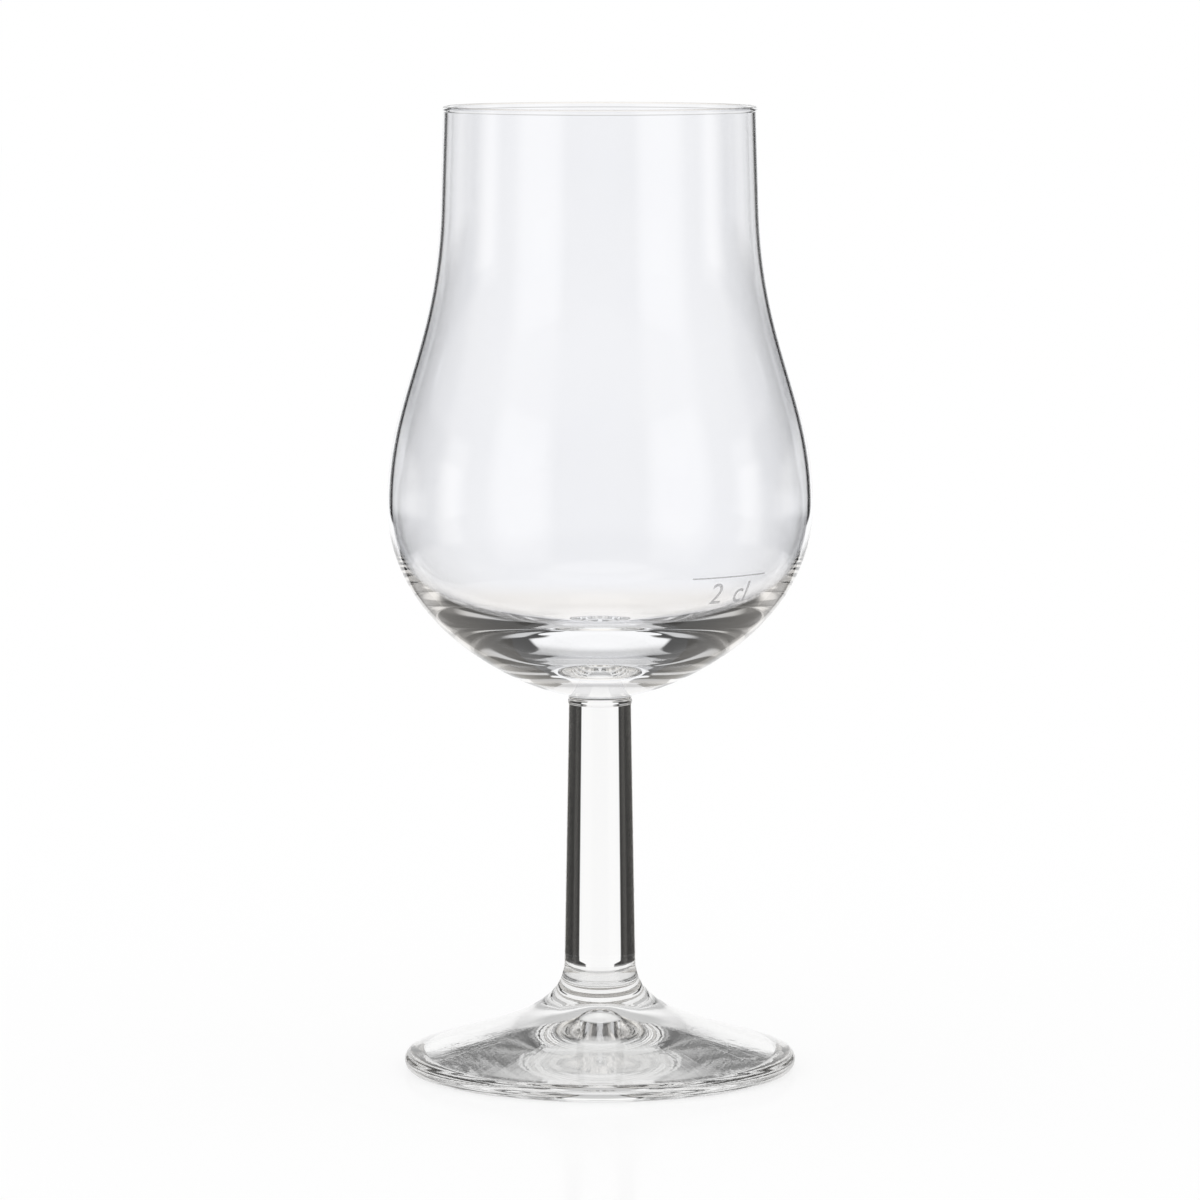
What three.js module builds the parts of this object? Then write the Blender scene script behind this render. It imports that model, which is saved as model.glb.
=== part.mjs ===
// Nosing glass: a blown tulip bowl fused to a solid stem, fused in turn to a pressed foot.
// Millimetres, +Z up. The foot stands on Z = 0 and every glass piece turns about the Z axis.
import * as THREE from "three";

// Foot, from the ground to its weld with the stem
const FOOT_DIAMETER = 57;
const FOOT_HEIGHT = 16;
const FOOT_EDGE_RADIUS = 1.36;
const FOOT_SLOPE = THREE.MathUtils.degToRad(18.8); // of the cone just inside the edge
const FOOT_CONE_REACH = 13.9; // how far the straight cone leads the curve inwards
const FOOT_FLARE_REACH = 7.4; // how far the stem's own line leads the curve down
const REST_RING_INNER_DIAMETER = 50; // the flat ring starts here and runs out to the edge
const HOLLOW_SLOPE = THREE.MathUtils.degToRad(13.5); // of the hollow just inside the ring
const HOLLOW_REACH = 7; // how far that slope leads the curve inwards
const BELL_DIAMETER = 9.4; // where the hollow steepens into the bell in its middle
const BELL_FOOT_RISE = 5;
const BELL_SLOPE = THREE.MathUtils.degToRad(21);
const BELL_REACH = 2; // how far the bell's slope leads the curve to either side
const CROWN_RISE = 6.65; // of the bell's rounded top above the ground
const CROWN_REACH = 1.7;

// Stem, between its two welds
const STEM_LENGTH = 38.3;
const STEM_FOOT_DIAMETER = 10.38;
const STEM_BOWL_DIAMETER = 9.08;
const WELD_RING_HEIGHT = 0.8; // of the raised ring just under the bowl
const WELD_RING_SWELL = 0.12;

// Bowl, from its weld with the stem to the lip
const BOWL_HEIGHT = 85.7;
const MOUTH_DIAMETER = 45.1;
const BELLY_DIAMETER = 61.5;
const BELLY_RISE = 28.2; // from the weld to the widest level
const WALL = 0.7;
const LIP_BEAD_DIAMETER = 0.95;
const CHIMNEY_LENGTH = 14; // of the nearly straight wall under the lip
const CHIMNEY_TAPER = THREE.MathUtils.degToRad(1.8); // it narrows towards the lip
const SHOULDER_REACH = 20; // how far the chimney's line leads the shoulder curve
const BELLY_REACH_UP = 15.8; // how far the belly's upright line leads the curve above it
const BELLY_REACH_DOWN = 18.3; // and the curve below it
const NECK_DIAMETER = 11; // where the bowl's underside turns down to the weld
const NECK_RISE = 0.7;
const UNDERSIDE_SLOPE = THREE.MathUtils.degToRad(10.7); // of the underside at the neck
const UNDERSIDE_REACH = 5.5;
const BASE_THICKNESS = 7.6; // from the weld to the inner floor
const FLOOR_REACH = 15.8; // how far the flat floor leads the inner curve outwards
const INNER_BELLY_REACH = 15.8; // how far the upright inner wall leads the same curve down

// Enamel line that marks the measure
const FILL_VOLUME = 20000; // cubic millimetres held below the line
const FILL_LINE_HEIGHT = 0.3;
const FILL_LINE_THICKNESS = 0.08;
const FILL_LINE_START = THREE.MathUtils.degToRad(26.4); // from the front, turning towards +X
const FILL_LINE_END = THREE.MathUtils.degToRad(52.8);
const ENAMEL_CLEARANCE = 0.1; // between the line and the facets of the wall

// Facets
const TURN_SEGMENTS = 48;
const CURVE_STEPS = 12;
const ARC_STEPS = 8;
const VOLUME_STEPS = 200;

const point = (radius, height) => new THREE.Vector2(radius, height);

// A smooth stretch of profile that leaves one point and meets the next along given handles.
function curve(from, fromHandle, toHandle, to, steps = CURVE_STEPS) {
  const shape = new THREE.CubicBezierCurve(from, from.clone().add(fromHandle), to.clone().add(toHandle), to);
  return shape.getPoints(steps);
}

// Points along an ellipse about a centre, between two angles measured from +radius.
function arc(centre, radiusX, radiusZ, start, end, steps = ARC_STEPS) {
  const clockwise = end < start;
  const shape = new THREE.EllipseCurve(centre.x, centre.y, radiusX, radiusZ, start, end, clockwise);
  return shape.getPoints(steps);
}

// A profile turned about Z. Points that two stretches share are kept once.
function turned(stretches) {
  const distinct = (p, i, all) => i === 0 || p.distanceTo(all[i - 1]) > 1e-6;
  const profile = stretches.flat().filter(distinct);
  return new THREE.LatheGeometry(profile, TURN_SEGMENTS).rotateX(Math.PI / 2);
}

// A vector of a given length along a slope, used as a curve's handle.
const handle = (length, angle) => point(length * Math.cos(angle), length * Math.sin(angle));

function footGeometry() {
  const edge = point(FOOT_DIAMETER / 2 - FOOT_EDGE_RADIUS, FOOT_EDGE_RADIUS);
  const bellFoot = point(BELL_DIAMETER / 2, BELL_FOOT_RISE);
  const bellOut = handle(BELL_REACH, -BELL_SLOPE);
  const bellIn = handle(BELL_REACH, Math.PI - BELL_SLOPE);
  const hollowIn = handle(HOLLOW_REACH, Math.PI - HOLLOW_SLOPE);
  const edgeTop = Math.PI / 2 - FOOT_SLOPE;
  const rim = arc(edge, FOOT_EDGE_RADIUS, FOOT_EDGE_RADIUS, -Math.PI / 2, edgeTop);
  const neck = point(STEM_FOOT_DIAMETER / 2, FOOT_HEIGHT);
  return turned([
    curve(point(0, CROWN_RISE), point(CROWN_REACH, 0), bellIn, bellFoot),
    curve(bellFoot, bellOut, hollowIn, point(REST_RING_INNER_DIAMETER / 2, 0)),
    rim,
    curve(rim.at(-1), handle(FOOT_CONE_REACH, Math.PI - FOOT_SLOPE), point(0, -FOOT_FLARE_REACH), neck),
    [point(0, FOOT_HEIGHT)],
  ]);
}

function stemGeometry() {
  const weldRadius = STEM_BOWL_DIAMETER / 2;
  const ringCentre = point(weldRadius, STEM_LENGTH - WELD_RING_HEIGHT / 2);
  return turned([
    [point(0, 0), point(STEM_FOOT_DIAMETER / 2, 0)],
    arc(ringCentre, WELD_RING_SWELL, WELD_RING_HEIGHT / 2, -Math.PI / 2, Math.PI / 2),
    [point(0, STEM_LENGTH)],
  ]);
}

// The bowl's wall above the belly, from the belly up to the bead, at a distance in from the outside.
function upperWall(inset) {
  const bead = LIP_BEAD_DIAMETER / 2;
  const wallTop = BOWL_HEIGHT - bead - Math.sqrt(bead ** 2 - (WALL / 2) ** 2);
  const mouth = point(MOUTH_DIAMETER / 2 - inset, wallTop);
  const shoulder = point(mouth.x + CHIMNEY_LENGTH * Math.tan(CHIMNEY_TAPER), mouth.y - CHIMNEY_LENGTH);
  const belly = point(BELLY_DIAMETER / 2 - inset, BELLY_RISE);
  const shoulderHandle = handle(SHOULDER_REACH, CHIMNEY_TAPER - Math.PI / 2);
  return [...curve(belly, point(0, BELLY_REACH_UP), shoulderHandle, shoulder), mouth];
}

// The inside below the belly, from the middle of the floor up to the belly.
function innerFloor(steps) {
  const floor = point(0, BASE_THICKNESS);
  const belly = point(BELLY_DIAMETER / 2 - WALL, BELLY_RISE);
  return curve(floor, point(FLOOR_REACH, 0), point(0, -INNER_BELLY_REACH), belly, steps);
}

// The outside below the belly, from the neck up to the belly.
function underside(steps) {
  const neck = point(NECK_DIAMETER / 2, NECK_RISE);
  const belly = point(BELLY_DIAMETER / 2, BELLY_RISE);
  return curve(neck, handle(UNDERSIDE_REACH, UNDERSIDE_SLOPE), point(0, -BELLY_REACH_DOWN), belly, steps);
}

function bowlGeometry() {
  const weldRadius = STEM_BOWL_DIAMETER / 2;
  const neckCentre = point(NECK_DIAMETER / 2, 0);
  const neckFillet = arc(neckCentre, NECK_DIAMETER / 2 - weldRadius, NECK_RISE, Math.PI, Math.PI / 2);
  const bead = LIP_BEAD_DIAMETER / 2;
  const beadCentre = point((MOUTH_DIAMETER - WALL) / 2, BOWL_HEIGHT - bead);
  const beadDip = Math.acos(WALL / LIP_BEAD_DIAMETER); // how far round the bead meets the wall
  return turned([
    [point(0, 0)],
    neckFillet,
    underside(),
    upperWall(0),
    arc(beadCentre, bead, bead, -beadDip, Math.PI + beadDip),
    upperWall(WALL).reverse(),
    innerFloor().reverse(),
  ]);
}

// The height above the weld at which the bowl holds the marked volume, added up ring by ring.
function fillHeight() {
  let held = 0;
  let below = null;
  for (const level of innerFloor(VOLUME_STEPS)) {
    if (below) {
      const areas = below.x ** 2 + below.x * level.x + level.x ** 2;
      const slice = (Math.PI * (level.y - below.y) * areas) / 3;
      if (held + slice >= FILL_VOLUME) {
        return THREE.MathUtils.lerp(below.y, level.y, (FILL_VOLUME - held) / slice);
      }
      held += slice;
    }
    below = level;
  }
  return BELLY_RISE;
}

// The outer radius of the bowl at a height between the neck and the belly.
function outerRadius(height) {
  const levels = underside();
  const above = Math.max(1, levels.findIndex((p) => p.y >= height));
  const [low, high] = [levels[above - 1], levels[above]];
  return THREE.MathUtils.mapLinear(height, low.y, high.y, low.x, high.x);
}

// A strip of a ring that stands off the wall by the enamel clearance, flat top and bottom.
function fillLineGeometry(height) {
  const inner = outerRadius(height + FILL_LINE_HEIGHT / 2) + ENAMEL_CLEARANCE;
  const [start, end] = [FILL_LINE_START, FILL_LINE_END].map((angle) => angle - Math.PI / 2);
  const strip = new THREE.Shape()
    .absarc(0, 0, inner + FILL_LINE_THICKNESS, start, end, false)
    .absarc(0, 0, inner, end, start, true);
  const settings = { depth: FILL_LINE_HEIGHT, bevelEnabled: false, curveSegments: CURVE_STEPS };
  return new THREE.ExtrudeGeometry(strip, settings).translate(0, 0, height - FILL_LINE_HEIGHT / 2);
}

function clearGlass(colour) {
  return new THREE.MeshStandardMaterial({
    color: colour,
    roughness: 0.02,
    metalness: 0,
    transparent: true,
    opacity: 0.35,
  });
}

const enamel = new THREE.MeshStandardMaterial({ color: 0xe9eaec, roughness: 0.45, metalness: 0 });

function piece(name, geometry, material) {
  const mesh = new THREE.Mesh(geometry, material);
  mesh.name = name;
  return mesh;
}

const foot = piece("foot", footGeometry(), clearGlass(0xf1f2ee));

const stem = piece("stem", stemGeometry(), clearGlass(0xf2f3f3));
stem.position.z = FOOT_HEIGHT;

const tulip = new THREE.Group();
tulip.add(piece("bowl", bowlGeometry(), clearGlass(0xf3f4f6)));
tulip.add(piece("fill_line", fillLineGeometry(fillHeight()), enamel));
tulip.position.z = FOOT_HEIGHT + STEM_LENGTH;

const glass = new THREE.Group();
glass.add(foot, stem, tulip);

export default glass;
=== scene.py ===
"""A nosing glass dressed for the camera: tulip bowl, solid stem, pressed foot and an enamel measure.

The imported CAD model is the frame. Each glass piece is the same turned section as its solid, drawn
finely enough to bend light smoothly, and stands for that solid. Sizes are in millimetres and become
metres as the meshes are made. The foot stands on Z = 0 and the front of the glass faces -Y.
"""

import logging
import math
from collections.abc import Iterable, Mapping
from dataclasses import dataclass, field
from enum import Enum
from typing import Any

import bmesh
import bpy
from mathutils import Matrix, Vector
from mathutils.geometry import interpolate_bezier


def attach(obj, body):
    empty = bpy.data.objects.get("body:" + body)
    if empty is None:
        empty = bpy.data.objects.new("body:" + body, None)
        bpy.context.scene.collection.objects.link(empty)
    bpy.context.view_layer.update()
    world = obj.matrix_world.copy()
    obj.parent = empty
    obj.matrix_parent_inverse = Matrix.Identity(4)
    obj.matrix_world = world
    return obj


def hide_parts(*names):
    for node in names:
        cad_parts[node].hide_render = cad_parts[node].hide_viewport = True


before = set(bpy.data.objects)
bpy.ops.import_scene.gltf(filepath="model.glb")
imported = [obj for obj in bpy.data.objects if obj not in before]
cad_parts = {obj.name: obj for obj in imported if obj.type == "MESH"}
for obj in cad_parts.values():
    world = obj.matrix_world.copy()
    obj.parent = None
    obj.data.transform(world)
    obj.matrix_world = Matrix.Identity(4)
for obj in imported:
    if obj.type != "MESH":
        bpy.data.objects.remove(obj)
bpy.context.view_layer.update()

log = logging.getLogger("nosing_glass")

MM = 0.001
TURN_STEPS = 192
CURVE_STEPS = 56
LINE_STEPS = 12
ARC_STEPS = 20
FILLET_STEPS = 10
SHARP_EDGE = math.radians(32)
MERGE_DISTANCE = 1e-4 * MM
WELD_TOLERANCE = 1e-3
WHITE = (1.0, 1.0, 1.0)
LIGHT_BOUNCES = 40

# Where something starts, is full, fades and ends
Band = tuple[float, float, float, float]


class Slot(Enum):
    """The record's material slots."""

    BOWL = "bowl_glass"
    STEM = "stem_glass"
    FOOT = "foot_glass"
    ENAMEL = "enamel"


class Forming(Enum):
    """How a glass piece was made, which decides the faint marks on its skin."""

    BLOWN = "blown"
    DRAWN = "drawn"
    PRESSED = "pressed"


class Value:
    """A shader number that takes part in Python expressions; each operation adds a Math node."""

    def __init__(self, tree: "Tree", socket: bpy.types.NodeSocket) -> None:
        """Keeps the tree and the socket that gives the number."""
        self.tree = tree
        self.socket = socket

    def math(self, operation: str, *others: "Value | float") -> "Value":
        """Adds a Math node.

        Args:
            operation: The Math node's operation.
            others: The numbers or values that follow this one.

        Returns:
            The node's result.
        """
        inputs = dict(enumerate((self, *others)))
        made = self.tree.node("ShaderNodeMath", {"operation": operation}, inputs)
        return Value(self.tree, made.outputs[0])

    def _from(self, operation: str, first: "Value | float") -> "Value":
        """Adds a Math node with this value second, for reflected operators."""
        made = self.tree.node("ShaderNodeMath", {"operation": operation}, {0: first, 1: self})
        return Value(self.tree, made.outputs[0])

    def __add__(self, other: "Value | float") -> "Value":
        """This plus other."""
        return self.math("ADD", other)

    def __radd__(self, other: float) -> "Value":
        """Other plus this."""
        return self._from("ADD", other)

    def __sub__(self, other: "Value | float") -> "Value":
        """This less other."""
        return self.math("SUBTRACT", other)

    def __rsub__(self, other: float) -> "Value":
        """Other less this."""
        return self._from("SUBTRACT", other)

    def __mul__(self, other: "Value | float") -> "Value":
        """This times other."""
        return self.math("MULTIPLY", other)

    def __rmul__(self, other: float) -> "Value":
        """Other times this."""
        return self._from("MULTIPLY", other)

    def __truediv__(self, other: "Value | float") -> "Value":
        """This over other."""
        return self.math("DIVIDE", other)

    def __abs__(self) -> "Value":
        """This without its sign."""
        return self.math("ABSOLUTE")

    def most(self, other: "Value | float") -> "Value":
        """The larger of this and other."""
        return self.math("MAXIMUM", other)

    def rise(self, low: float, high: float) -> "Value":
        """Goes smoothly from 0 at low to 1 at high.

        Args:
            low: Where the rise starts.
            high: Where it ends.

        Returns:
            A number from 0 to 1.
        """
        settings = {"interpolation_type": "SMOOTHSTEP"}
        inputs = {"Value": self, "From Min": low, "From Max": high}
        made = self.tree.node("ShaderNodeMapRange", settings, inputs)
        return Value(self.tree, made.outputs["Result"])

    def band(self, start: float, full: float, fade: float, end: float) -> "Value":
        """Is 1 between full and fade, and goes smoothly to 0 at start and at end."""
        return self.rise(start, full) * (1 - self.rise(fade, end))

    def blend(self, low: "Value | float", high: "Value | float") -> "Value":
        """Goes from low to high as this goes from 0 to 1."""
        return (high - low) * self + low


class Tree:
    """A material's or world's node tree, emptied and ready to be written."""

    def __init__(self, nodes: bpy.types.NodeTree) -> None:
        """Empties the tree."""
        nodes.nodes.clear()
        self.nodes = nodes

    def node(
        self,
        kind: str,
        settings: Mapping[str, Any] | None = None,
        inputs: Mapping[str | int, Any] | None = None,
    ) -> bpy.types.Node:
        """Adds a node.

        Args:
            kind: The node's type.
            settings: The node's own properties, set first.
            inputs: What each input socket takes: a number, a colour, a socket or a Value.

        Returns:
            The new node.
        """
        made = self.nodes.nodes.new(kind)
        for name, setting in (settings or {}).items():
            setattr(made, name, setting)
        for name, given in (inputs or {}).items():
            source = given.socket if isinstance(given, Value) else given
            if isinstance(source, bpy.types.NodeSocket):
                self.nodes.links.new(source, made.inputs[name])
            else:
                made.inputs[name].default_value = source
        return made

    def axes(self, vector: bpy.types.NodeSocket) -> tuple[Value, Value, Value]:
        """Splits a vector into its three numbers."""
        parts = self.node("ShaderNodeSeparateXYZ", None, {"Vector": vector})
        x, y, z = (Value(self, socket) for socket in parts.outputs)
        return x, y, z

    def vector(self, x: Value | float, y: Value | float, z: Value | float) -> bpy.types.NodeSocket:
        """Joins three numbers into a vector."""
        return self.node("ShaderNodeCombineXYZ", None, {"X": x, "Y": y, "Z": z}).outputs["Vector"]

    def noise(self, vector: bpy.types.NodeSocket, scale: float, detail: float) -> Value:
        """Cloudy noise about 0.5.

        Args:
            vector: Where it is read.
            scale: How many clouds there are in a unit of length.
            detail: How many finer layers it has.

        Returns:
            A number from 0 to 1.
        """
        inputs = {"Vector": vector, "Scale": scale, "Detail": detail}
        return Value(self, self.node("ShaderNodeTexNoise", None, inputs).outputs["Fac"])

    def mix_colours(self, share: Value, first: tuple, second: tuple) -> bpy.types.NodeSocket:
        """Goes from one colour to another.

        Args:
            share: How much of the second colour there is.
            first: The colour at a share of 0.
            second: The colour at a share of 1.

        Returns:
            The mixed colour.
        """
        settings = {"data_type": "RGBA"}
        inputs = {0: share, 6: (*first, 1.0), 7: (*second, 1.0)}
        return self.node("ShaderNodeMix", settings, inputs).outputs[2]

    def surface(self, shader: bpy.types.Node) -> None:
        """Makes a shader the tree's surface."""
        self.node("ShaderNodeOutputMaterial", None, {"Surface": shader.outputs[0]})


def new_material(name: str) -> tuple[bpy.types.Material, Tree]:
    """Makes an empty material.

    Args:
        name: The material's name.

    Returns:
        The material and its tree.
    """
    material = bpy.data.materials.new(name)
    material.use_nodes = True
    return material, Tree(material.node_tree)


@dataclass(frozen=True)
class FormingMarks:
    """Sizes of the faint marks that forming leaves on glass. Distances are in metres.

    Attributes:
        ripple_scale: How many ripples a blown wall has in a metre.
        ripple_stretch: How much of the height a ripple counts, so that it is drawn out upwards.
        ring_scale: How many rings the base of a blown piece has in a metre.
        ring_stretch: The same as ripple_stretch, for the rings.
        ring_share: How high the rings are beside the ripples.
        ring_fade: The heights between which the rings end.
        cord_scale: How many cords a drawn rod has in a metre.
        cord_stretch: The same as ripple_stretch, for the cords.
        spiral: How much the marks of pressing change from the middle outwards.
        flow_scale: How many flow marks go round a pressed piece.
        flow_growth: How fast they grow outwards.
        streak_scale: How many streaks go round it.
        streak_share: How high the streaks are beside the flow marks.
        streak_band: The distances from the middle between which streaks start, are full, fade and end.
        swell_scale: How many soft swells it has in a metre.
        edge_fade: The distances from the middle between which all marks of pressing end.
    """

    ripple_scale: float = 90.0
    ripple_stretch: float = 0.4
    ring_scale: float = 420.0
    ring_stretch: float = 0.3
    ring_share: float = 0.5
    ring_fade: tuple[float, float] = (0.068, 0.078)
    cord_scale: float = 700.0
    cord_stretch: float = 0.05
    spiral: float = 4.0
    flow_scale: float = 9.0
    flow_growth: float = 40.0
    streak_scale: float = 32.0
    streak_share: float = 0.25
    streak_band: Band = (0.006, 0.011, 0.018, 0.025)
    swell_scale: float = 110.0
    edge_fade: tuple[float, float] = (0.021, 0.026)


@dataclass(frozen=True)
class ClearGlass:
    """Clear glass whose skin keeps the faint marks of how it was formed.

    Attributes:
        name: The material's name.
        forming: How the piece was made.
        tint: What the glass passes where it is palest.
        deep_tint: What it passes in its faint darker cords.
        mark_depth: The height of the marks, in millimetres.
        ior: How strongly it bends light.
        tint_scale: How many darker cords of tint there are in a metre.
        tint_edge: Where in its noise a darker cord starts and is full.
        sizes: The sizes of the marks.
    """

    name: str
    forming: Forming
    tint: tuple[float, float, float]
    deep_tint: tuple[float, float, float]
    mark_depth: float
    ior: float = 1.5
    tint_scale: float = 60.0
    tint_edge: tuple[float, float] = (0.4, 0.7)
    sizes: FormingMarks = FormingMarks()

    def marks(self, tree: Tree, place: bpy.types.NodeSocket) -> Value:
        """Writes the height of the forming marks.

        Args:
            tree: The material's tree.
            place: The point on the piece, in metres.

        Returns:
            A height from about 0 to 1.
        """
        sizes = self.sizes
        x, y, z = tree.axes(place)
        out = (x * x + y * y).math("SQRT")
        if self.forming is Forming.BLOWN:
            ripples = tree.noise(tree.vector(x, y, z * sizes.ripple_stretch), sizes.ripple_scale, 1.0)
            rings = tree.noise(tree.vector(out, 0.0, z * sizes.ring_stretch), sizes.ring_scale, 1.0)
            return ripples + rings * (1 - z.rise(*sizes.ring_fade)) * sizes.ring_share
        if self.forming is Forming.DRAWN:
            return tree.noise(tree.vector(x, y, z * sizes.cord_stretch), sizes.cord_scale, 1.0)
        turn = tree.vector(x / out, y / out, out * sizes.spiral)
        flow = tree.noise(turn, sizes.flow_scale, 3.0) * out * sizes.flow_growth
        streaks = tree.noise(turn, sizes.streak_scale, 2.0) * out.band(*sizes.streak_band)
        swells = tree.noise(place, sizes.swell_scale, 1.0)
        return (flow + swells + streaks * sizes.streak_share) * (1 - out.rise(*sizes.edge_fade))

    def material(self) -> bpy.types.Material:
        """Writes the finish.

        Returns:
            The glass material.
        """
        made, tree = new_material(self.name)
        place = tree.node("ShaderNodeTexCoord").outputs["Object"]
        height = self.marks(tree, place)
        cords = tree.noise(place, self.tint_scale, 2.0).rise(*self.tint_edge)
        bump = tree.node(
            "ShaderNodeBump",
            None,
            {"Strength": 1.0, "Distance": self.mark_depth * MM, "Height": height},
        )
        glass = tree.node(
            "ShaderNodeBsdfPrincipled",
            None,
            {
                "Base Color": tree.mix_colours(cords, self.tint, self.deep_tint),
                "Roughness": 0.0,
                "IOR": self.ior,
                "Transmission Weight": 1.0,
                "Normal": bump.outputs["Normal"],
            },
        )
        tree.surface(glass)
        return made


@dataclass(frozen=True)
class FusedWeld:
    """The face inside a weld, where two melted pieces became one and nothing shows."""

    name: str = "fused_weld"

    def material(self) -> bpy.types.Material:
        """Writes the finish.

        Returns:
            A material that nothing stops at.
        """
        made, tree = new_material(self.name)
        tree.surface(tree.node("ShaderNodeBsdfPrincipled", None, {"Alpha": 0.0}))
        return made


@dataclass(frozen=True)
class FiredEnamel:
    """Pale ceramic enamel, printed on the glass and fired, with a slightly grainy skin.

    Attributes:
        name: The material's name.
        pale: Its colour where the coat is thick.
        thin: Its colour where the glass shows through.
        cover: How much of the light each face of the thin coat stops.
        patch_scale: How many patches of thick and thin there are in a metre.
        patch_edge: Where in its noise a thin patch starts and is full.
        grain_scale: How many grains there are in a metre.
        grain_depth: The height of the grains, in millimetres.
        grain_strength: How much of that height shows.
        roughness: How rough it is, and how much more where it is patchy.
    """

    name: str = "fired_enamel"
    pale: tuple[float, float, float] = (0.42, 0.42, 0.43)
    thin: tuple[float, float, float] = (0.33, 0.33, 0.34)
    cover: float = 0.4
    patch_scale: float = 2600.0
    patch_edge: tuple[float, float] = (0.35, 0.65)
    grain_scale: float = 9000.0
    grain_depth: float = 0.01
    grain_strength: float = 0.6
    roughness: tuple[float, float] = (0.4, 0.25)

    def material(self) -> bpy.types.Material:
        """Writes the finish.

        Returns:
            The enamel material.
        """
        made, tree = new_material(self.name)
        place = tree.node("ShaderNodeTexCoord").outputs["Object"]
        patches = tree.noise(place, self.patch_scale, 3.0)
        grain = tree.noise(place, self.grain_scale, 2.0)
        bump = tree.node(
            "ShaderNodeBump",
            None,
            {"Strength": self.grain_strength, "Distance": self.grain_depth * MM, "Height": grain},
        )
        enamel = tree.node(
            "ShaderNodeBsdfPrincipled",
            None,
            {
                "Base Color": tree.mix_colours(patches.rise(*self.patch_edge), self.pale, self.thin),
                "Roughness": self.roughness[0] + patches * self.roughness[1],
                "Alpha": self.cover,
                "Normal": bump.outputs["Normal"],
            },
        )
        tree.surface(enamel)
        return made


class Section:
    """Half of a turned section, drawn from stretch to stretch as radius and height in millimetres."""

    def __init__(self, radius: float, height: float) -> None:
        """Starts at a point."""
        self.points = [self.at(radius, height)]

    @staticmethod
    def at(radius: float, height: float) -> Vector:
        """A point of the section, or a step along it."""
        return Vector((radius, 0.0, height))

    def line(self, radius: float, height: float) -> "Section":
        """Goes straight to a point."""
        self.points.append(self.at(radius, height))
        return self

    def curve(self, leave: Vector, arrive: Vector, end: Vector, steps: int = CURVE_STEPS) -> "Section":
        """Goes along a smooth curve.

        Args:
            leave: The handle at its start, as a step from it.
            arrive: The handle at its end, as a step from it.
            end: Where it ends.
            steps: How many points it has.

        Returns:
            This section.
        """
        start = self.points[-1]
        self.points += interpolate_bezier(start, start + leave, end + arrive, end, steps + 1)[1:]
        return self

    def arc(
        self,
        centre: Vector,
        radii: tuple[float, float],
        start: float,
        end: float,
        steps: int = ARC_STEPS,
    ) -> "Section":
        """Goes round part of an ellipse.

        Args:
            centre: The ellipse's middle.
            radii: Its half width and half height.
            start: The angle at which it starts, from +radius towards +height.
            end: The angle at which it ends.
            steps: How many points it has.

        Returns:
            This section.
        """
        for step in range(steps + 1):
            angle = start + (end - start) * step / steps
            self.points.append(centre + self.at(radii[0] * math.cos(angle), radii[1] * math.sin(angle)))
        return self

    def turned(self) -> bmesh.types.BMesh:
        """Turns the section once about Z.

        Returns:
            A closed body in metres, facing out.
        """
        body = bmesh.new()
        corners = [body.verts.new(point * MM) for point in self.points]
        sides = [body.edges.new(pair) for pair in zip(corners, corners[1:])]
        bmesh.ops.spin(
            body,
            geom=corners + sides,
            cent=(0, 0, 0),
            axis=(0, 0, 1),
            angle=math.tau,
            steps=TURN_STEPS,
            use_merge=True,
        )
        bmesh.ops.remove_doubles(body, verts=body.verts, dist=MERGE_DISTANCE)
        bmesh.ops.recalc_face_normals(body, faces=body.faces)
        return body


def handle(length: float, angle: float) -> Vector:
    """A step of a given length along a slope in radians."""
    return Section.at(length * math.cos(angle), length * math.sin(angle))


@dataclass
class Piece:
    """Something of the object that has a name, a slot and a mesh.

    Attributes:
        name: The piece's name in the scene.
        slot: The record's slot for its finish. Not used.
        nodes: The CAD nodes that it stands for.
    """

    name: str
    slot: Slot
    nodes: tuple[str, ...] = ()

    def place(
        self, body: bmesh.types.BMesh, materials: Iterable[bpy.types.Material]
    ) -> bpy.types.Object:
        """Makes the piece an object that rides on the part.

        Args:
            body: Its mesh, which is freed.
            materials: Its finishes, in the order of the faces' indices.

        Returns:
            The object.
        """
        for face in body.faces:
            face.smooth = True
        for edge in body.edges:
            edge.smooth = edge.calc_face_angle(0.0) < SHARP_EDGE
        mesh = bpy.data.meshes.new(self.name)
        body.to_mesh(mesh)
        body.free()
        for material in materials:
            mesh.materials.append(material)
        made = bpy.data.objects.new(self.name, mesh)
        bpy.context.scene.collection.objects.link(made)
        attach(made, "root")
        if self.nodes:
            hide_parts(*self.nodes)
        log.info("%s: %d faces, stands for %s", self.name, len(mesh.polygons), self.nodes or "no node")
        return made


def mark_welds(body: bmesh.types.BMesh, *levels: float) -> None:
    """Gives the flat faces at each weld the second finish.

    Args:
        body: A turned body.
        levels: The heights of its welds, in millimetres.
    """
    for face in body.faces:
        heights = [corner.co.z / MM for corner in face.verts]
        face.material_index = int(
            any(all(abs(height - level) < WELD_TOLERANCE for height in heights) for level in levels)
        )


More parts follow.
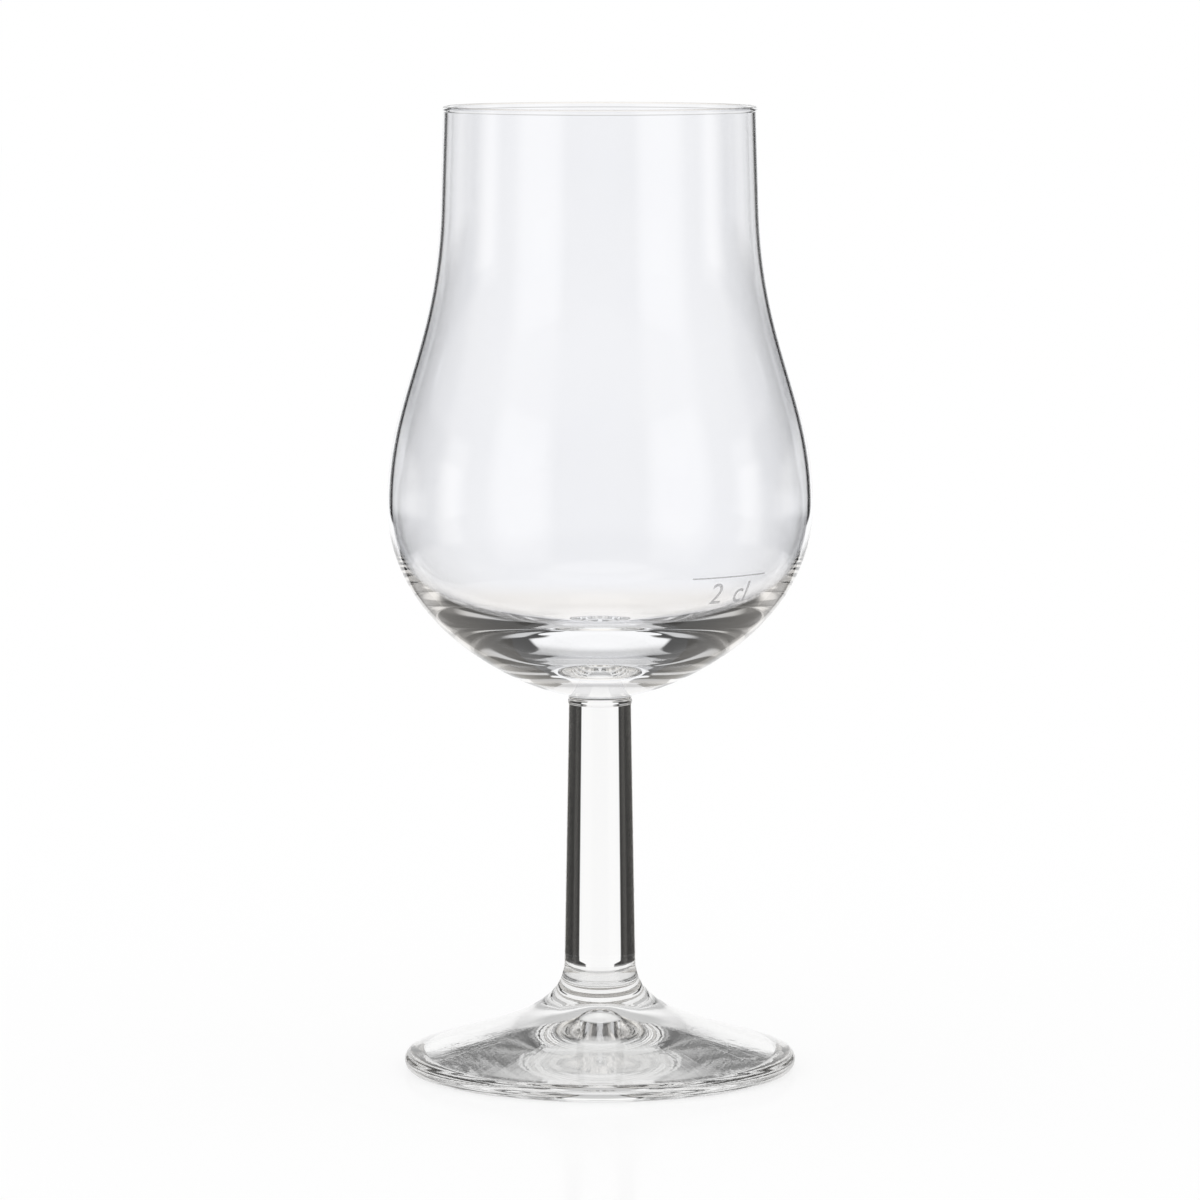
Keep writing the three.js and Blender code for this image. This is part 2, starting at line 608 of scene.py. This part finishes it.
@dataclass
class Foot:
    """The pressed foot: a low cone on a flat ring, hollow below, with a bell-shaped crown inside."""

    diameter: float = 57.0
    height: float = 16.0
    edge_radius: float = 1.36
    slope: float = math.radians(18.8)
    cone_reach: float = 13.9
    flare_reach: float = 7.4
    neck_diameter: float = 10.38
    ring_inner_diameter: float = 50.0
    hollow_slope: float = math.radians(13.5)
    hollow_reach: float = 7.0
    bell_diameter: float = 9.4
    bell_foot: float = 5.0
    bell_slope: float = math.radians(21)
    bell_reach: float = 2.0
    crown_height: float = 6.65
    crown_reach: float = 1.7
    piece: Piece = field(default_factory=lambda: Piece("foot_glass", Slot.FOOT, ("foot",)))

    def section(self) -> Section:
        """Draws the section from the crown of the hollow, round the edge, up to the weld.

        Returns:
            The section.
        """
        edge = Section.at(self.diameter / 2 - self.edge_radius, self.edge_radius)
        drawn = Section(0, self.crown_height)
        drawn.curve(
            Section.at(self.crown_reach, 0),
            handle(self.bell_reach, math.pi - self.bell_slope),
            Section.at(self.bell_diameter / 2, self.bell_foot),
        )
        drawn.curve(
            handle(self.bell_reach, -self.bell_slope),
            handle(self.hollow_reach, math.pi - self.hollow_slope),
            Section.at(self.ring_inner_diameter / 2, 0),
        )
        drawn.arc(edge, (self.edge_radius,) * 2, -math.pi / 2, math.pi / 2 - self.slope)
        drawn.curve(
            handle(self.cone_reach, math.pi - self.slope),
            Section.at(0, -self.flare_reach),
            Section.at(self.neck_diameter / 2, self.height),
        )
        return drawn.line(0, self.height)

    def build(self, finishes: Iterable[bpy.types.Material]) -> bpy.types.Object:
        """Makes the foot.

        Args:
            finishes: The glass and the weld.

        Returns:
            The object.
        """
        body = self.section().turned()
        mark_welds(body, self.height)
        return self.piece.place(body, finishes)


@dataclass
class Stem:
    """The solid stem, with the raised ring that the weld left just under the bowl."""

    base: float = 16.0
    length: float = 38.3
    foot_diameter: float = 10.38
    bowl_diameter: float = 9.08
    ring_height: float = 0.8
    ring_swell: float = 0.12
    upright_reach: float = 1.0
    piece: Piece = field(default_factory=lambda: Piece("stem_glass", Slot.STEM, ("stem",)))

    @property
    def top(self) -> float:
        """The height of the weld with the bowl."""
        return self.base + self.length

    def section(self) -> Section:
        """Draws the section from the lower weld to the upper one.

        Returns:
            The section.
        """
        radius = self.bowl_diameter / 2
        half = self.ring_height / 2
        drawn = Section(0, self.base).line(self.foot_diameter / 2, self.base)
        drawn.curve(
            Section.at(0, self.upright_reach),
            Section.at(0, -self.upright_reach),
            Section.at(radius, self.top - self.ring_height),
        )
        ring = Section.at(radius, self.top - half)
        drawn.arc(ring, (self.ring_swell, half), -math.pi / 2, math.pi / 2)
        return drawn.line(0, self.top)

    def build(self, finishes: Iterable[bpy.types.Material]) -> bpy.types.Object:
        """Makes the stem.

        Args:
            finishes: The glass and the weld.

        Returns:
            The object.
        """
        body = self.section().turned()
        mark_welds(body, self.base, self.top)
        return self.piece.place(body, finishes)


@dataclass
class Bowl:
    """The blown tulip: a thin wall that grows into a thick base, with a fire-polished lip bead."""

    base: float = 54.3
    height: float = 85.7
    weld_diameter: float = 9.08
    mouth_diameter: float = 45.1
    belly_diameter: float = 61.5
    belly_rise: float = 28.2
    wall: float = 0.7
    bead_diameter: float = 0.95
    chimney_length: float = 14.0
    chimney_taper: float = math.radians(1.8)
    chimney_reach: float = 4.0
    shoulder_reach: float = 20.0
    belly_reach_up: float = 15.8
    belly_reach_down: float = 18.3
    neck_diameter: float = 11.0
    neck_rise: float = 0.7
    underside_slope: float = math.radians(10.7)
    underside_reach: float = 5.5
    base_thickness: float = 7.6
    floor_reach: float = 15.8
    inner_belly_reach: float = 15.8
    piece: Piece = field(default_factory=lambda: Piece("bowl_glass", Slot.BOWL, ("bowl",)))

    def at(self, radius: float, rise: float) -> Vector:
        """A point at a height above the weld."""
        return Section.at(radius, self.base + rise)

    def draw_underside(self, drawn: Section) -> Section:
        """Adds the outside from the neck to the belly."""
        belly = self.at(self.belly_diameter / 2, self.belly_rise)
        leave = handle(self.underside_reach, self.underside_slope)
        return drawn.curve(leave, Section.at(0, -self.belly_reach_down), belly)

    def outer_radius(self, height: float) -> float:
        """The outside's radius at a height between the neck and the belly, in millimetres."""
        neck = Section(self.neck_diameter / 2, self.base + self.neck_rise)
        levels = self.draw_underside(neck).points
        for low, high in zip(levels, levels[1:]):
            if high.z >= height:
                return low.x + (high.x - low.x) * (height - low.z) / (high.z - low.z)
        return self.belly_diameter / 2

    def section(self) -> Section:
        """Draws the section up the outside, over the bead and down the inside.

        Returns:
            The section.
        """
        bead = self.bead_diameter / 2
        wall_top = self.height - bead - math.sqrt(bead**2 - (self.wall / 2) ** 2)
        mouth = self.mouth_diameter / 2
        shoulder = mouth + self.chimney_length * math.tan(self.chimney_taper)
        lean = handle(self.shoulder_reach, self.chimney_taper - math.pi / 2)
        lead = handle(self.chimney_reach, self.chimney_taper - math.pi / 2)
        neck = self.neck_diameter / 2
        fillet = (neck - self.weld_diameter / 2, self.neck_rise)
        dip = math.acos(self.wall / self.bead_diameter)
        inner = self.belly_diameter / 2 - self.wall
        drawn = Section(0, self.base).line(self.weld_diameter / 2, self.base)
        chimney = wall_top - self.chimney_length
        drawn.arc(self.at(neck, 0), fillet, math.pi, math.pi / 2, FILLET_STEPS)
        self.draw_underside(drawn)
        drawn.curve(Section.at(0, self.belly_reach_up), lean, self.at(shoulder, chimney))
        drawn.curve(-lead, lead, self.at(mouth, wall_top), LINE_STEPS)
        drawn.arc(self.at(mouth - self.wall / 2, self.height - bead), (bead, bead), -dip, math.pi + dip)
        drawn.curve(lead, -lead, self.at(shoulder - self.wall, chimney), LINE_STEPS)
        drawn.curve(lean, Section.at(0, self.belly_reach_up), self.at(inner, self.belly_rise))
        drawn.curve(
            Section.at(0, -self.inner_belly_reach),
            Section.at(self.floor_reach, 0),
            self.at(0, self.base_thickness),
        )
        return drawn

    def build(self, finishes: Iterable[bpy.types.Material]) -> bpy.types.Object:
        """Makes the bowl.

        Args:
            finishes: The glass and the weld.

        Returns:
            The object.
        """
        body = self.section().turned()
        mark_welds(body, self.base)
        return self.piece.place(body, finishes)


@dataclass
class Measure:
    """The measure on the bowl's outside: an enamel line at the level of 2 cl, and its figure below."""

    bowl: Bowl
    level: float = 74.35
    line_height: float = 0.2
    line_start: float = math.radians(26.4)
    line_end: float = math.radians(52.8)
    line_cuts: int = 48
    coat: float = 0.03
    figure: str = "2 cl"
    figure_size: float = 4.35
    figure_space: float = 1.6
    figure_slice: float = 0.3
    figure_merge: float = 1e-5
    figure_start: float = math.radians(33.5)
    figure_drop: float = 3.87
    line: Piece = field(default_factory=lambda: Piece("fill_line_enamel", Slot.ENAMEL, ("fill_line",)))
    words: Piece = field(default_factory=lambda: Piece("measure_figure_enamel", Slot.ENAMEL))

    def wrap(self, body: bmesh.types.BMesh) -> None:
        """Lays a flat pattern on the wall.

        Args:
            body: The pattern: turn along X in radians, height along Z and lift along Y, in millimetres.
        """
        for corner in body.verts:
            turn, lift, height = corner.co
            radius = self.bowl.outer_radius(height) + lift
            corner.co = Vector((radius * math.sin(turn), -radius * math.cos(turn), height)) * MM
        bmesh.ops.recalc_face_normals(body, faces=body.faces)

    def build_line(self, finishes: Iterable[bpy.types.Material]) -> bpy.types.Object:
        """Makes the line.

        Args:
            finishes: The enamel.

        Returns:
            The object.
        """
        body = bmesh.new()
        bmesh.ops.create_cube(body, size=1.0)
        span = self.line_end - self.line_start
        bmesh.ops.scale(body, vec=(span, self.coat, self.line_height), verts=body.verts)
        middle = (self.line_start + span / 2, self.coat / 2, self.level)
        bmesh.ops.translate(body, vec=middle, verts=body.verts)
        long = [edge for edge in body.edges if abs(edge.verts[0].co.x - edge.verts[1].co.x) > span / 2]
        bmesh.ops.subdivide_edges(body, edges=long, cuts=self.line_cuts, use_grid_fill=True)
        self.wrap(body)
        return self.line.place(body, finishes)

    def build_figure(self, finishes: Iterable[bpy.types.Material]) -> bpy.types.Object:
        """Makes the figure from plain letters, sliced fine enough to follow the wall.

        Args:
            finishes: The enamel.

        Returns:
            The object.
        """
        text = bpy.data.curves.new(self.words.name, "FONT")
        text.body = self.figure
        text.size = self.figure_size
        text.space_word = self.figure_space
        text.extrude = self.coat / 2
        holder = bpy.data.objects.new(self.words.name, text)
        bpy.context.scene.collection.objects.link(holder)
        shown = holder.evaluated_get(bpy.context.evaluated_depsgraph_get())
        flat = bpy.data.meshes.new_from_object(shown)
        body = bmesh.new()
        body.from_mesh(flat)
        bpy.data.objects.remove(holder)
        bpy.data.curves.remove(text)
        bpy.data.meshes.remove(flat)
        radius = self.bowl.outer_radius(self.level - self.figure_drop)
        bmesh.ops.remove_doubles(body, verts=body.verts, dist=self.figure_merge)
        for axis in (Vector((1, 0, 0)), Vector((0, 1, 0))):
            reach = max(corner.co @ axis for corner in body.verts)
            for cut in range(1, math.ceil(reach / self.figure_slice)):
                every = [*body.verts, *body.edges, *body.faces]
                place = axis * cut * self.figure_slice
                bmesh.ops.bisect_plane(body, geom=every, plane_co=place, plane_no=axis)
        for corner in body.verts:
            across, up, lift = corner.co
            corner.co = (
                self.figure_start + across / radius,
                lift + self.coat / 2,
                self.level - self.figure_drop + up,
            )
        self.wrap(body)
        return self.words.place(body, finishes)


@dataclass
class Studio:
    """The white sweep, the dark room and soft boxes round the glass, the floor and the camera.

    Angles are in degrees. The ones about Z start behind the glass and run to either side.

    Attributes:
        sweep: Half the width of the white sweep behind the glass.
        low_sweep: The same just below the horizon, where the sweep comes forward over the table.
        low_heights: Where that wider stretch starts, is full, fades and ends, up from the horizon.
        mid_sweep: The same as sweep, some way up.
        mid_rise: Where the sweep starts to widen to that, and has, up from the horizon.
        high_sweep: The same overhead.
        high_rise: Where it starts to widen to that, and has.
        sweep_blur: Half the width of the sweep's soft edge.
        overhead: How bright the sweep is overhead.
        dim_rise: Where it starts to dim to that, and has.
        top_light: How bright the lamp straight above the glass is.
        top_edge: Where that lamp starts and is full, up from the horizon.
        low_edge: Where what is just below the horizon ends and the walls start.
        flags: Where the dark flags beside the sweep end.
        low_flags: The same just below the horizon.
        flag_blur: Half the width of the flags' soft edge.
        flag: How bright the flags are.
        walls: How bright the walls are beyond the flags, along the horizon.
        wall_top: Where the walls start to darken into the room, and end, up from the horizon.
        room: How bright the room is above the walls.
        low_room: How bright it is just below the horizon.
        panels: Where the pale panels beyond the flags start, are full, fade and end.
        panel_heights: The same, up from the horizon.
        panel_light: How bright they are.
        sides: Where the pale gap to each side starts, is full, fades and ends.
        side_top: Where that gap starts to darken and ends, up from the horizon.
        side_light: How bright that gap is.
        boxes: Where the soft boxes before the glass start, are full, fade and end.
        box_heights: Where they start, are full, fade and end, up from the horizon.
        box_light: How bright the soft boxes are.
        front: How bright the room before the glass is, about the soft boxes.
        front_edge: Where that starts and is full.
        table: How bright the table is far off and close to the glass.
        table_span: Where it is close and where it is far off, up from the horizon.
        table_edge: Where the table's far edge is, up from the horizon.
        cards: The middle of each white card, about Z and up, and half its size.
        card_blur: The width of a card's soft edge.
        warm: The colour of the light from the table and from before the glass.
        warm_around: Where the warm light starts and is full.
        warm_table: Where the warm table is full and ends, up from the horizon.
        floor_white: How much of the white background the camera sees in the floor itself.
        painted_shadow_level: How bright the painted shadow on the floor under the foot's outer part is,
            as the glass shows it.
        painted_shadow_band: The distances in metres between which that painted shadow starts, is full,
            fades and ends.
        floor_gloss: How much the floor mirrors.
        floor_blur: How rough that mirror is.
        floor_radius: The floor's radius in metres.
        floor_depth: How far below the glass the floor lies, in millimetres.
        near_radius: The radius of the round under the foot that shows in the glass, in metres.
        near_depth: How far below the glass that round lies, in millimetres.
        floor_sides: How many sides a round of the floor has.
        camera_back: How far the camera is from the glass's axis, in metres.
        camera_height: How high it is, in metres.
        camera_down: How far it looks down, in radians.
        lens: Its focal length in millimetres.
        sensor: The width of its picture in millimetres.
        clip_start: How close it sees, in metres.
    """

    sweep: float = 17.0
    low_sweep: float = 26.0
    low_heights: Band = (-15.0, -13.0, -8.2, -4.8)
    mid_sweep: float = 24.0
    mid_rise: tuple[float, float] = (1.0, 10.0)
    high_sweep: float = 46.0
    high_rise: tuple[float, float] = (20.0, 60.0)
    sweep_blur: float = 1.0
    overhead: float = 0.6
    dim_rise: tuple[float, float] = (10.0, 25.0)
    top_light: float = 0.9
    top_edge: tuple[float, float] = (64.0, 72.0)
    low_edge: tuple[float, float] = (-7.4, -6.2)
    flags: float = 37.0
    low_flags: float = 75.0
    flag_blur: float = 2.0
    flag: float = 0.018
    walls: float = 0.15
    wall_top: tuple[float, float] = (1.0, 8.0)
    room: float = 0.06
    low_room: float = 0.07
    panels: Band = (25.0, 28.0, 58.0, 70.0)
    panel_heights: Band = (-7.4, -4.4, 0.5, 6.0)
    panel_light: float = 0.62
    sides: Band = (74.0, 87.0, 93.0, 106.0)
    side_top: tuple[float, float] = (6.0, 10.0)
    side_light: float = 0.92
    boxes: Band = (100.0, 126.0, 144.0, 166.0)
    box_heights: Band = (-42.0, -30.0, 18.0, 45.0)
    box_light: float = 0.9
    front: float = 0.42
    front_edge: tuple[float, float] = (72.0, 88.0)
    table: tuple[float, float] = (0.42, 0.8)
    table_span: tuple[float, float] = (-48.0, -18.0)
    table_edge: tuple[float, float] = (-20.0, -16.0)
    cards: tuple[tuple[float, float, float], ...] = ((45.0, -25.0, 6.0), (135.0, -15.0, 6.0))
    card_blur: float = 1.0
    warm: tuple[float, float, float] = (1.0, 0.965, 0.91)
    warm_around: tuple[float, float] = (40.0, 70.0)
    warm_table: tuple[float, float] = (-30.0, -18.0)
    floor_white: float = 0.82
    # Painted shadow: a darker ring on the floor under the foot's outer part, shown only in the glass
    painted_shadow_level: float = 0.5
    painted_shadow_band: Band = (0.012, 0.019, 0.024, 0.027)
    floor_gloss: float = 0.04
    floor_blur: float = 0.12
    floor_radius: float = 4.0
    floor_depth: float = 0.04
    near_radius: float = 0.045
    near_depth: float = 0.02
    floor_sides: int = 64
    camera_back: float = 0.8687
    camera_height: float = 0.1628
    camera_down: float = math.radians(6.189)
    lens: float = 180.9
    sensor: float = 36.0
    clip_start: float = 0.01

    def card_edges(self, middle: float, half: float) -> Band:
        """Where a card starts, is full, fades and ends along one direction."""
        blur = self.card_blur
        return middle - half - blur, middle - half, middle + half, middle + half + blur

    def build_world(self) -> None:
        """Writes the light round the glass: plain white, with the studio shown to glass and gloss."""
        world = bpy.data.worlds.new("studio")
        world.use_nodes = True
        bpy.context.scene.world = world
        tree = Tree(world.node_tree)
        x, y, z = tree.axes(tree.node("ShaderNodeTexCoord").outputs["Generated"])
        around = abs(x.math("ARCTAN2", y)) * math.degrees(1)
        up = z.math("ARCSINE") * math.degrees(1)
        low = 1 - up.rise(*self.low_edge)
        walls = up.rise(*self.wall_top).blend(self.walls, self.room)
        room = low.blend(walls, self.low_room)
        flags = around - low.blend(self.flags, self.low_flags)
        ring = flags.rise(-self.flag_blur, self.flag_blur).blend(self.flag, room)
        sides = around.band(*self.sides) * (1 - up.rise(*self.side_top)) * self.side_light
        panels = around.band(*self.panels) * up.band(*self.panel_heights) * self.panel_light
        table = up.rise(*self.table_span).blend(self.table[1], self.table[0])
        level = up.rise(*self.table_edge).blend(table, ring.most(sides).most(panels))
        front = around.rise(*self.front_edge) * self.front
        front = front.most(around.band(*self.boxes) * self.box_light)
        level = level.most(front * up.band(*self.box_heights))
        for turn, rise, half in self.cards:
            card = around.band(*self.card_edges(turn, half)) * up.band(*self.card_edges(rise, half))
            level = level.most(card)
        width = up.band(*self.low_heights).blend(self.sweep, self.low_sweep)
        width = up.rise(*self.mid_rise).blend(width, self.mid_sweep)
        width = up.rise(*self.high_rise).blend(width, self.high_sweep)
        beyond = (around - width).rise(-self.sweep_blur, self.sweep_blur)
        sweep = (1 - beyond) * up.rise(*self.dim_rise).blend(1.0, self.overhead)
        level = level.most(sweep).most(up.rise(*self.top_edge) * self.top_light)
        path = tree.node("ShaderNodeLightPath").outputs
        seen = Value(tree, path["Is Glossy Ray"]).most(Value(tree, path["Is Transmission Ray"]))
        warmth = around.rise(*self.warm_around).most(1 - up.rise(*self.warm_table)) * seen
        light = {
            "Color": tree.mix_colours(warmth, WHITE, self.warm),
            "Strength": seen.blend(1.0, level),
        }
        sky = tree.node("ShaderNodeBackground", None, light)
        tree.node("ShaderNodeOutputWorld", None, {"Surface": sky.outputs[0]})

    def floor_finish(self) -> bpy.types.Material:
        """Makes the floor's white, which keeps a faint shadow and a faint reflection, and shows the
        glass a painted shadow ring under the foot.

        Returns:
            The material.
        """
        made, tree = new_material("white_floor")
        white = {"Color": (*WHITE, 1.0)}
        matt = tree.node("ShaderNodeBsdfDiffuse", None, white)
        path = tree.node("ShaderNodeLightPath").outputs
        camera = Value(tree, path["Is Camera Ray"])
        x, y, _ = tree.axes(tree.node("ShaderNodeTexCoord").outputs["Object"])
        # Painted shadow: the floor under the foot's outer part is painted darker for rays through the
        # glass, standing in for the foot's shadow
        ring = (x * x + y * y).math("SQRT").band(*self.painted_shadow_band) * (1 - camera)
        shade = tree.mix_colours(ring, WHITE, (self.painted_shadow_level,) * 3)
        # The floor's white glow, which carries the painted shadow ring for the glass
        backdrop_with_painted_shadow = tree.node("ShaderNodeEmission", None, {"Color": shade})
        seen = camera.most(Value(tree, path["Is Glossy Ray"]))
        seen = seen.most(Value(tree, path["Is Transmission Ray"]))
        mixed = {0: seen * self.floor_white, 1: matt.outputs[0], 2: backdrop_with_painted_shadow.outputs[0]}
        lit = tree.node("ShaderNodeMixShader", None, mixed)
        gloss = tree.node("ShaderNodeBsdfGlossy", None, {**white, "Roughness": self.floor_blur})
        shared = {0: self.floor_gloss, 1: lit.outputs[0], 2: gloss.outputs[0]}
        tree.surface(tree.node("ShaderNodeMixShader", None, shared))
        return made

    def build_floor(self, name: str, radius: float, depth: float, in_glass: bool) -> bpy.types.Object:
        """Makes a round of the floor.

        Args:
            name: Its name.
            radius: Its radius in metres.
            depth: How far below the glass it lies, in millimetres.
            in_glass: Whether it shows in the glass, as the round under the foot does.

        Returns:
            The floor's object.
        """
        body = bmesh.new()
        bmesh.ops.create_circle(body, cap_ends=True, segments=self.floor_sides, radius=radius)
        bmesh.ops.translate(body, vec=(0, 0, -depth * MM), verts=body.verts)
        mesh = bpy.data.meshes.new(name)
        body.to_mesh(mesh)
        body.free()
        mesh.materials.append(self.floor_finish())
        floor = bpy.data.objects.new(name, mesh)
        floor.visible_glossy = in_glass
        floor.visible_transmission = in_glass
        bpy.context.scene.collection.objects.link(floor)
        return floor

    def build_camera(self) -> bpy.types.Object:
        """Places the camera at the photograph's angle.

        Returns:
            The camera's object.
        """
        lens = bpy.data.cameras.new("camera")
        lens.sensor_width = self.sensor
        lens.lens = self.lens
        lens.clip_start = self.clip_start
        camera = bpy.data.objects.new("camera", lens)
        stand = Matrix.Translation((0, -self.camera_back, self.camera_height))
        camera.matrix_world = stand @ Matrix.Rotation(math.pi / 2 - self.camera_down, 4, "X")
        bpy.context.scene.collection.objects.link(camera)
        bpy.context.scene.camera = camera
        return camera

    def build(self) -> None:
        """Makes the whole studio and lets light go round inside the glass often enough."""
        scene = bpy.context.scene
        scene.view_settings.view_transform = "Standard"
        scene.cycles.max_bounces = LIGHT_BOUNCES
        scene.cycles.glossy_bounces = LIGHT_BOUNCES
        scene.cycles.transmission_bounces = LIGHT_BOUNCES
        scene.cycles.transparent_max_bounces = LIGHT_BOUNCES
        self.build_world()
        self.build_floor("floor", self.floor_radius, self.floor_depth, False)
        self.build_floor("floor_near", self.near_radius, self.near_depth, True)
        self.build_camera()


def main() -> None:
    """Builds the glass and its studio."""
    logging.basicConfig(level=logging.INFO, format="%(name)s: %(message)s")
    weld = FusedWeld().material()
    blown = ClearGlass(
        "blown_glass",
        Forming.BLOWN,
        tint=(0.979, 0.984, 1.0),
        deep_tint=(0.972, 0.978, 0.997),
        mark_depth=0.004,
    )
    drawn = ClearGlass(
        "drawn_glass",
        Forming.DRAWN,
        tint=(0.99, 0.99, 0.99),
        deep_tint=(0.985, 0.986, 0.985),
        mark_depth=0.0015,
    )
    pressed = ClearGlass(
        "pressed_glass",
        Forming.PRESSED,
        tint=(0.985, 0.985, 0.982),
        deep_tint=(0.975, 0.975, 0.97),
        mark_depth=0.02,
    )
    bowl = Bowl()
    bowl.build((blown.material(), weld))
    Stem().build((drawn.material(), weld))
    Foot().build((pressed.material(), weld))
    enamel = FiredEnamel().material()
    measure = Measure(bowl)
    measure.build_line((enamel,))
    measure.build_figure((enamel,))
    Studio().build()


if __name__ == "__main__":
    main()
